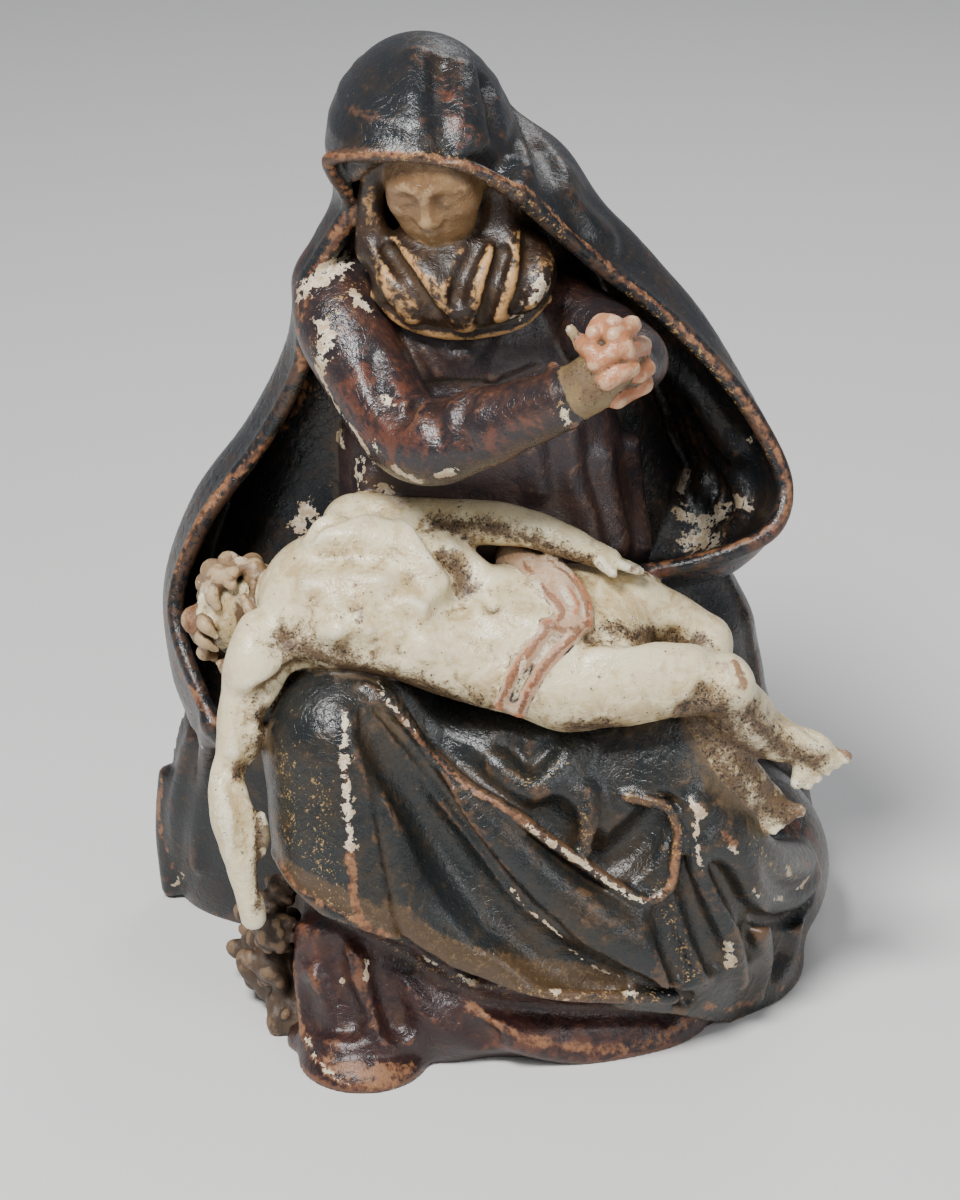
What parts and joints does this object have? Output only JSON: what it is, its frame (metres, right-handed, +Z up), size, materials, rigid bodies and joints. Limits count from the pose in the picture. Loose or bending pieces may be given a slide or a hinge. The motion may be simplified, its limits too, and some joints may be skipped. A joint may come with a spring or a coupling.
{
  "type": "pieta statuette",
  "caption": "Seated hooded woman with clasped hands, a dead man laid across her lap, under a wide open mantle, in worn painted terracotta.",
  "frame": {"origin": "middle of the bounding box in plan, on the underside that the statuette stands on", "axes": "+Z up through the hood, +Y towards the back of the mantle, +X to the viewer's right"},
  "size_m": [0.232, 0.1788, 0.3205],
  "materials": {
    "polychrome_terracotta": "aged dark paint and varnish over gesso on fired clay, satin, chipped at edges"
  },
  "bodies": {
    "root": {"pieta_statue": "polychrome_terracotta"}
  },
  "joints": []
}
